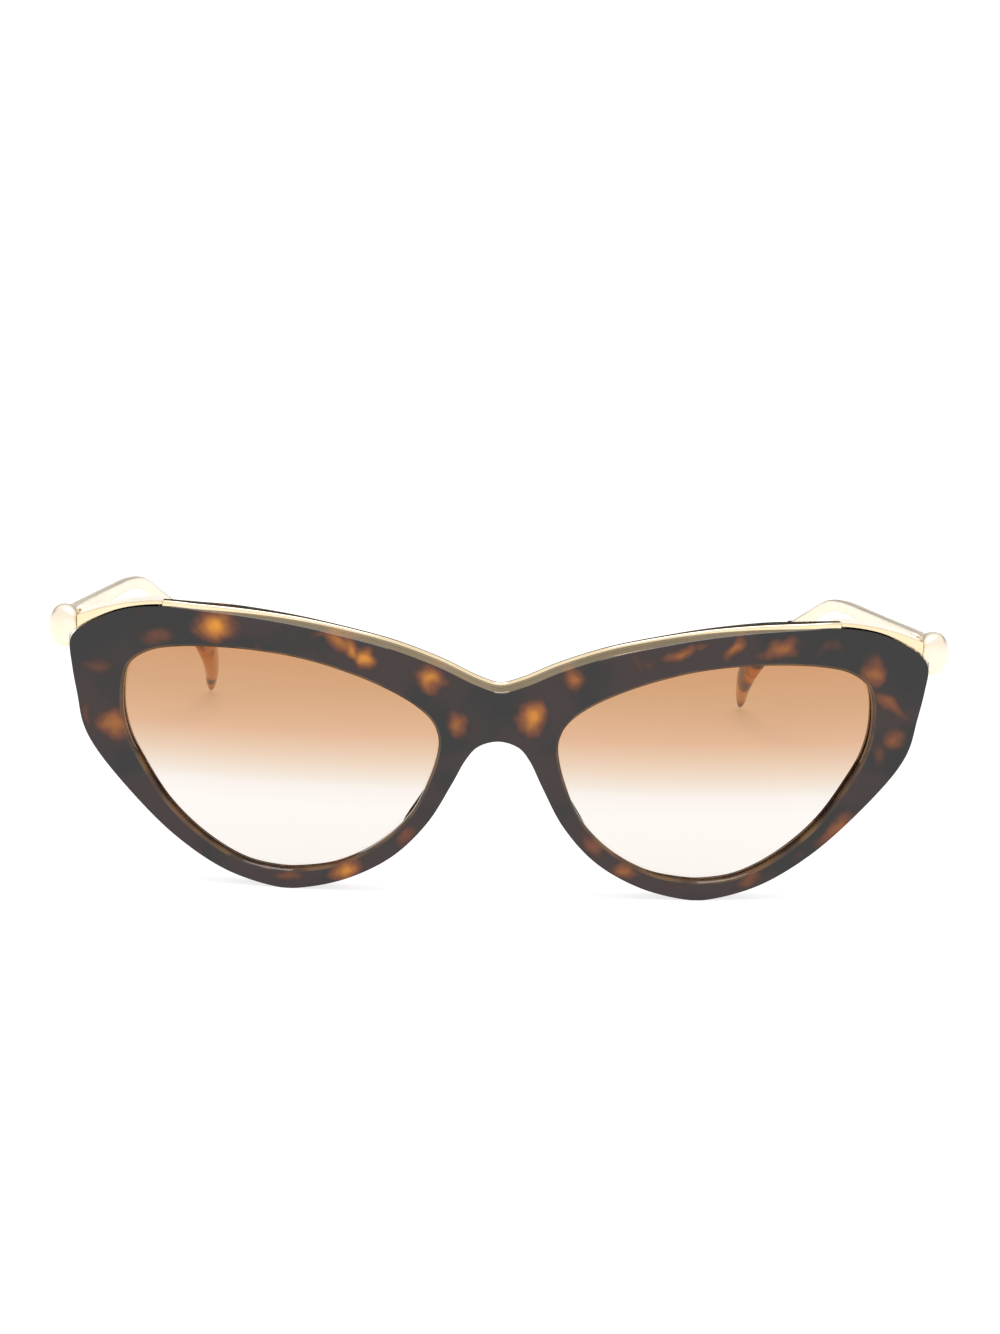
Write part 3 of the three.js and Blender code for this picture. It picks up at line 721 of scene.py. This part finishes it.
def endpiece(side, name):
    rows = []
    for s in [q for q in STATIONS if not q["seam"] and BROW_END <= q["u"] <= CORNER_END + 1e-6]:
        x = max(s["x"], 57.03)
        low, top = s["z"] + 0.18, end_top(s["x"])
        face = -0.02 + 0.32 * (1 - smoothstep(x, 57, 63))
        plate = min(46.4 - 9.2 * smoothstep(x, 59.5, 62.5), low - 0.04)
        section = [(low, face), (top, face), (top - end_fall(x), FRONT_THICK), (plate, FRONT_THICK),
                   (plate, 4.54), (low, 4.54)]
        radii = [0.25, 0.22, 0.3, 0.3, 0.02, 0.02]
        points = rounded([(z, d, 0) for z, d in section], radii, CORNER_STEPS, closed=True)
        row = []
        for j, p in enumerate(points):
            q = bend_point(x, p.y, p.x)
            if j // (CORNER_STEPS + 1) in (2, 3):  # the two rear corners lie on the flat rear plane
                q.y = FOREMOST + PLATE_BACK * MM - (FRONT_THICK - min(p.y, FRONT_THICK)) * MM
            row.append(Vector((q.x * side, q.y, q.z)))
        rows.append(row)
    verts, faces = loft(rows)
    piece = new_object(name, verts, faces, GOLD)
    smooth_shade(piece)
    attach(piece, "front")
    return piece

for side, word in ((1, "left"), (-1, "right")):
    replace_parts(endpiece(side, f"gold_endpiece_{word}"), f"endpiece_{word}")

# %% [markdown]
# ## Temples
# A slim gold bar runs back from the hinge and ends in an acetate tip. Both follow one path, so
# one node tree sweeps a section along it and lets thickness and height change on the way. The
# thicknesses and heights are measured from the path, so they are half of the full size. A
# squareness of 1 gives an oval, and less gives a squarer bar.

# %% The temple path
TEMPLE = [
    (73.3, 16.4, 41.65), (72.9, 30, 39.8), (71.4, 50, 37.2), (69.4, 70, 34.9), (67.0, 88, 32.8),
    (65.2, 97, 30.9), (62.4, 105, 26.8), (58.0, 112.5, 21.4), (54.4, 120, 15.6), (53.0, 129, 9.0),
    (53.2, 139.5, 0.3),
]
ARM_END = 6.6                                  # where the metal goes into the acetate tip
temple_line = smooth_curve(TEMPLE)


def path_object(name, start, end, side, count=90):
    mesh = bpy.data.meshes.new(name)
    points = []
    for k in range(count):
        p = temple_line(lerp(start, end, k / (count - 1)))
        points.append((p.x * side * MM, FOREMOST + p.y * MM, p.z * MM))
    mesh.from_pydata(points, [(k, k + 1) for k in range(count - 1)], [])
    obj = bpy.data.objects.new(name, mesh)
    bpy.context.collection.objects.link(obj)
    return obj


# %% The sweeping tree
def sweeping_tree():
    t = Tree("sweep a section along a path", [
        ("Material", "Material", None), ("Thickness start", "Float", MM), ("Thickness end", "Float", MM),
        ("Height start", "Float", MM), ("Height end", "Float", MM), ("Height reached", "Float", 1.0),
        ("Height taken off", "Float", 0.0), ("Squareness", "Float", 0.6),
        ("Round end from", "Float", 1.0)])
    curve = t.node("GeometryNodeMeshToCurve", {0: t.source["Geometry"]}).outputs[0]
    along = t.node("GeometryNodeInputTangent").outputs[0]
    side = t.vector("NORMALIZE", t.vector("CROSS_PRODUCT", along, (0, 0, 1)))
    rise = t.vector("CROSS_PRODUCT", side, along)
    factor = t.node("GeometryNodeSplineParameter").outputs["Factor"]

    def keep(geometry, value, kind):
        made = t.node("GeometryNodeCaptureAttribute", domain="POINT")
        made.capture_items.new(kind, "kept")
        t.tree.links.new(geometry, made.inputs["Geometry"])
        t.tree.links.new(value, made.inputs[1])
        return made.outputs["Geometry"], made.outputs[1]

    curve, middle = keep(curve, t.node("GeometryNodeInputPosition").outputs[0], "VECTOR")
    curve, side = keep(curve, side, "VECTOR")
    curve, rise = keep(curve, rise, "VECTOR")
    curve, factor = keep(curve, factor, "FLOAT")
    ring = t.node("GeometryNodeCurvePrimitiveCircle", {"Resolution": 32, "Radius": 0.001})
    tube = t.node("GeometryNodeCurveToMesh", {"Curve": curve, "Profile Curve": ring.outputs[0],
                                              "Fill Caps": True}).outputs[0]
    spoke = t.vector("SUBTRACT", t.node("GeometryNodeInputPosition").outputs[0], middle)
    spoke = t.vector("SCALE", spoke, scale=1000.0)    # the ring's radius of 1 mm becomes 1

    def squared(direction):
        value = t.vector("DOT_PRODUCT", spoke, direction)
        size = t.math("POWER", t.math("ABSOLUTE", value), t.source["Squareness"])
        return t.math("MULTIPLY", t.math("SIGN", value), size)

    def change(low, high, first, last):
        limits = {"From Min": first, "From Max": last, "To Min": low, "To Max": high}
        made = t.node("ShaderNodeMapRange", {"Value": factor, **limits}, interpolation_type="SMOOTHSTEP")
        return made.outputs["Result"]

    past = t.math("DIVIDE", t.math("SUBTRACT", factor, t.source["Round end from"]),
                  t.math("MAXIMUM", t.math("SUBTRACT", 1.0, t.source["Round end from"]), 0.001))
    past = t.math("MAXIMUM", past, 0.0)
    dome = t.math("SQRT", t.math("MAXIMUM", t.math("SUBTRACT", 1.0, t.math("MULTIPLY", past, past)), 0.004))
    thick = change(t.source["Thickness start"], t.source["Thickness end"], 0.0, 0.4)
    thick = t.math("MULTIPLY", dome, thick)
    high = change(t.source["Height start"], t.source["Height end"], 0.0, t.source["Height reached"])
    taper = change(0.0, t.source["Height taken off"], 0.5, 1.0)
    high = t.math("MULTIPLY", dome, t.math("SUBTRACT", high, taper))
    across = t.vector("SCALE", side, scale=t.math("MULTIPLY", squared(side), thick))
    upward = t.vector("SCALE", rise, scale=t.math("MULTIPLY", squared(rise), high))
    place = t.vector("ADD", t.vector("ADD", middle, across), upward)
    shaped = t.node("GeometryNodeSetPosition", {"Geometry": tube, "Position": place})
    t.close(shaped.outputs[0])
    return t

SWEEP = sweeping_tree()

# %% Temple arms and tips
NO_ROUND_END = 1.5                             # past the end of the path

def swept(name, start, end, side, material, body, values):
    piece = run_tree(path_object(name, start, end, side), SWEEP, {"Material": material, **values})
    smooth_shade(piece, 40)
    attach(piece, body)
    return piece

for side, word in ((1, "left"), (-1, "right")):
    arm = swept(f"gold_temple_{word}", 0, ARM_END, side, SATIN, f"{word}_temple", {
        "Thickness start": 0.95 * MM, "Thickness end": 0.8 * MM, "Height start": 2.1 * MM,
        "Height end": 1.15 * MM, "Height reached": 0.85, "Height taken off": 0.0,
        "Squareness": 0.5, "Round end from": NO_ROUND_END})
    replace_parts(arm, f"temple_arm_{word}")
    tip = swept(f"acetate_tip_{word}", ARM_END + 0.01, len(TEMPLE) - 1, side, TIP_ACETATE,
                f"{word}_temple", {
        "Thickness start": 1.25 * MM, "Thickness end": 1.5 * MM, "Height start": 1.6 * MM,
        "Height end": 3.1 * MM, "Height reached": 0.5, "Height taken off": 1.3 * MM,
        "Squareness": 0.85, "Round end from": 0.6})
    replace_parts(tip, f"temple_tip_{word}")
    for made in (arm, tip):
        print(made.name, [round(v * 1000, 1) for v in made.dimensions])

# %% [markdown]
# ## Hinge caps
# A rounded gold cap closes the front of each temple beside the endpiece. It is lofted from rounded
# sections, flat on its inner side so that it clears the front when the temple folds.

# %% Hinge caps
CAP_INNER, CAP_CLEAR, CAP_HEIGHT = 71.45, 1.1, 41.7
CAP_SLOPE = 0.5 * math.tan(math.radians(7.8))  # the cap drops half as fast as the hinge axis leans
# (depth, width, half height)
CAP = [(8.3, 0.35, 0.7), (8.6, 2.1, 2.2), (9.6, 3.9, 3.35), (11.4, 4.75, 3.7), (13.2, 4.6, 3.4),
       (14.8, 3.9, 2.8), (15.95, 3.2, 2.35)]
cap_line = smooth_curve(CAP)


def hinge_cap(side, name):
    rows = []
    for k in range(49):
        y, wide, high = cap_line(k / 8)
        row = []
        for j in range(48):
            a = j / 48 * 2 * math.pi
            c, s = math.cos(a), math.sin(a)
            z = CAP_HEIGHT - (y - 16.0) * CAP_SLOPE + high * s
            inner = CAP_INNER + CAP_CLEAR * (1 - smoothstep(z, 40.8, 42.4)) - 0.06 * (1 - s * s)
            x = CAP_INNER + wide * (0.42 + 0.58 * math.copysign(abs(c) ** 0.85, c))
            row.append(Vector((side * max(inner, x) * MM, FOREMOST + y * MM, z * MM)))
        rows.append(row)
    verts, faces = loft(rows)
    cap = new_object(name, verts, faces, SATIN)
    smooth_shade(cap, 40)
    return cap

for side, word in ((1, "left"), (-1, "right")):
    cap = hinge_cap(side, f"gold_hinge_cap_{word}")
    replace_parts(cap, f"hinge_cap_{word}")
    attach(cap, f"{word}_temple")

# %% [markdown]
# ## Hinges
# Each hinge has two leaves whose knuckles turn on one screw. They were drawn to size in the
# frame, so the lesson takes those solids and only breaks their edges with a small bevel, as
# tumbling does with stamped parts. The bevel is kept as plain mesh.

# %% Hinge leaves
def with_broken_edges(node, name, body):
    source = frame["nodes"][node]
    mesh = source.data.copy()
    mesh.transform(source.matrix_world)
    mesh.materials.clear()
    mesh.materials.append(GOLD)
    piece = bpy.data.objects.new(name, mesh)
    bpy.context.collection.objects.link(piece)
    tidy(mesh)
    bevel = piece.modifiers.new("broken edges", "BEVEL")
    bevel.width, bevel.segments, bevel.limit_method = 0.10 * MM, 2, "ANGLE"
    bevel.angle_limit = math.radians(40)
    piece.data = evaluated_mesh(piece)
    piece.modifiers.clear()
    smooth_shade(piece, 40)
    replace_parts(piece, node)
    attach(piece, body)
    return piece

for word in ("left", "right"):
    with_broken_edges(f"front_hinge_leaf_{word}", f"gold_front_leaf_{word}", "front")
    with_broken_edges(f"temple_hinge_leaf_{word}", f"gold_temple_leaf_{word}", f"{word}_temple")

# %% [markdown]
# ## Screws
# Small slotted screws hold the hinge leaves to the endpieces and form the hinge pins. One screw
# is turned per size and its slot cut by a boolean; a node tree sets copies of it on points.

# %% One slotted screw
CUBE = [(3, 2, 1, 0), (4, 5, 6, 7), (0, 1, 5, 4), (1, 2, 6, 5), (2, 3, 7, 6), (3, 0, 4, 7)]


def screw_template(name, head_radius, head_height, shank_radius, shank_length):
    """Screw along +Z with the top of its head at the origin."""
    profile = [(-shank_length, 0.6 * shank_radius), (-shank_length + 0.25, shank_radius),
               (-head_height, shank_radius), (-head_height, head_radius), (-0.12, head_radius),
               (-0.03, head_radius - 0.1), (0.0, head_radius - 0.28)]
    rows = [[Vector((r * math.cos(a), r * math.sin(a), h)) * MM
             for a in (2 * math.pi * k / 40 for k in range(40))] for h, r in profile]
    screw = new_object(name, *loft(rows))
    wide, deep = 0.13 * MM, 0.6 * head_height * MM
    box = [Vector((x, y, z)) for z in (-deep, MM) for x, y in
           ((-wide, -2 * MM), (wide, -2 * MM), (wide, 2 * MM), (-wide, 2 * MM))]
    slot = new_object("slot", box, CUBE)
    cut = screw.modifiers.new("slot", "BOOLEAN")
    cut.operation, cut.object, cut.solver = "DIFFERENCE", slot, "EXACT"
    screw.data = evaluated_mesh(screw)
    screw.modifiers.clear()
    bpy.data.objects.remove(slot)
    return screw


# %% The tree that sets screws on points
def screw_tree():
    t = Tree("screws on points", [("Material", "Material", None), ("Screw", "Object", None),
                                  ("Direction", "Vector", (0, 0, 1))])
    screw = t.node("GeometryNodeObjectInfo", {"Object": t.source["Screw"]}).outputs["Geometry"]
    turn = t.node("FunctionNodeAlignRotationToVector", {"Vector": t.source["Direction"]},
                  axis="Z").outputs[0]
    places = t.node("GeometryNodeMeshToPoints", {"Mesh": t.source["Geometry"]}).outputs[0]
    copies = t.node("GeometryNodeInstanceOnPoints", {"Points": places, "Instance": screw,
                                                     "Rotation": turn})
    t.close(copies.outputs[0])
    return t

SCREWS = screw_tree()


def set_screws(name, nodes, direction, screw, head_lean=0.0):
    """Screws whose heads end where the boxes of the frame's own screws end. On a leaning axis the
    rim of the head stands higher than its middle, by `head_lean`."""
    axis = Vector(direction).normalized()
    places = []
    for node in nodes:
        low, high = (Vector(c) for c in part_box(node))
        half = (high - low) / 2
        reach = half.y / axis.y if axis.y > axis.z else (half.z - head_lean) / axis.z
        places.append((low + high) / 2 + axis * reach)
    mesh = bpy.data.meshes.new(name)
    mesh.from_pydata([tuple(p) for p in places], [], [])
    piece = bpy.data.objects.new(name, mesh)
    bpy.context.collection.objects.link(piece)
    piece = run_tree(piece, SCREWS, {"Material": GOLD, "Screw": screw, "Direction": tuple(axis)})
    bpy.data.objects.remove(screw)
    smooth_shade(piece, 30)
    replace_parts(piece, *nodes)
    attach(piece, "front")
    print(name, len(places), "screws")

LEAF_SCREW_NODES = [f"leaf_screw_{level}_{word}" for level in ("lower", "upper")
                    for word in ("left", "right")]
HINGE_HEAD = 1.15
set_screws("leaf_screws", LEAF_SCREW_NODES, (0, 1, 0),
           screw_template("leaf screw", 0.95, 0.4, 0.45, 2.4))
set_screws("hinge_screws", ["hinge_screw_left", "hinge_screw_right"], HINGE_AXIS,
           screw_template("hinge screw", HINGE_HEAD, 0.3, 0.68, 4.7), HINGE_HEAD * MM * HINGE_AXIS.y)

# %% [markdown]
# ## Nose pads
# Small half ovals of the same acetate, glued behind the rims and polished round. They are lofted
# along the side of the nose and then bent together with the front.

# %% Nose pads
PAD_LINE = [(7.9, 0, 25.2), (8.5, 0, 21.8), (10.5, 0, 17.4), (13.4, 0, 13.0), (15.5, 0, 10.6)]
PAD, PAD_LAST = smooth_curve(PAD_LINE), len(PAD_LINE) - 1
PAD_HALF, PAD_HIGH = 1.45, 4.4


def nose_pad(side, name):
    rows = []
    for k in range(33):
        t = k / 32
        p, along = PAD(PAD_LAST * t), tangent(PAD, PAD_LAST * t, 0, PAD_LAST)
        size = 0.12 + 0.88 * math.sqrt(max(0, 1 - (2 * t - 1) ** 2))
        row = []
        for j in range(25):
            a = j / 24 * math.pi
            across, lean = PAD_HALF * size * math.cos(a), 0.9 * size * math.sin(a)
            depth = FRONT_THICK + 0.02 + PAD_HIGH * size * math.sin(a)
            x = p.x - along.z * across - lean
            row.append(Vector((side * x, depth, p.z + along.x * across)) * MM)
        rows.append(row)
    verts, faces = loft(rows)
    # The whole pad gets part of the painted glow of light through thin acetate.
    pad = bend_piece(new_object(name, verts, faces, light_through=[0.55] * len(verts)), ACETATE, 50)
    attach(pad, "front")
    return pad

for side, word in ((1, "left"), (-1, "right")):
    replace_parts(nose_pad(side, f"acetate_nose_pad_{word}"), f"nose_pad_{word}")

# %% [markdown]
# ## Floor and light
# A wide pale floor and soft white light from all round, with one softbox overhead. Polished gold
# only looks like metal when some of what it mirrors is dark. So a dark card stands behind the
# glasses: the camera doesn't see it, and it casts no shadow, but the gold mirrors it as the dark
# lines along its upper faces.

# %% Floor
def stage_sheet(name, corners, material):
    mesh = bpy.data.meshes.new(name)
    mesh.from_pydata(corners, [], [(0, 1, 2, 3)])
    mesh.materials.append(material)
    sheet = bpy.data.objects.new(name, mesh)
    bpy.context.collection.objects.link(sheet)
    return sheet


def pale_floor(reach=12.0):
    f = Finish("pale floor")
    shader = f.node("ShaderNodeBsdfPrincipled", {"Base Color": (0.3, 0.3, 0.3, 1), "Roughness": 0.9,
                                                 "Emission Color": (1, 1, 1, 1), "Emission Strength": 0.78})
    corners = [(-reach, -reach, 0), (reach, -reach, 0), (reach, reach, 0), (-reach, reach, 0)]
    floor = stage_sheet("floor", corners, f.finish(shader.outputs[0]))
    floor.location.z = CAD_BOX[0][2] - 0.05 * MM

pale_floor()

# %% Light
world = bpy.data.worlds.new("soft studio")
bpy.context.scene.world = world
world.use_nodes = True
nodes, links = world.node_tree.nodes, world.node_tree.links
nodes.clear()
sky = nodes.new("ShaderNodeBackground")
sky.inputs["Color"].default_value = (1, 1, 1, 1)
sky.inputs["Strength"].default_value = 1.0
links.new(sky.outputs[0], nodes.new("ShaderNodeOutputWorld").inputs["Surface"])


def dark_card(wide=1.6, back=1.0, low=0.1, high=0.42):
    """A dark card stands behind the glasses, out of sight, for the gold to mirror."""
    f = Finish("dark card")
    shader = f.node("ShaderNodeBsdfPrincipled", {"Base Color": (0.012, 0.010, 0.007, 1), "Roughness": 1.0})
    corners = [(-wide, back, low), (wide, back, low), (wide, back, high), (-wide, back, high)]
    card = stage_sheet("dark_card", corners, f.finish(shader.outputs[0]))
    card.visible_camera = False
    card.visible_shadow = False

dark_card()

softbox = bpy.data.lights.new("overhead softbox", "AREA")
softbox.shape, softbox.size, softbox.energy = "SQUARE", 0.8, 11
overhead = bpy.data.objects.new("overhead softbox", softbox)
bpy.context.collection.objects.link(overhead)
overhead.location = (0, -0.15, 1.6)
overhead.rotation_mode = "QUATERNION"
overhead.rotation_quaternion = (-overhead.location).to_track_quat("-Z", "Y")
bpy.context.scene.view_settings.view_transform = "Standard"
print("lights", overhead.name, softbox.energy, "W")

# %% [markdown]
# ## The end
# The view layer is brought up to date once more.

# %% The end
bpy.context.view_layer.update()
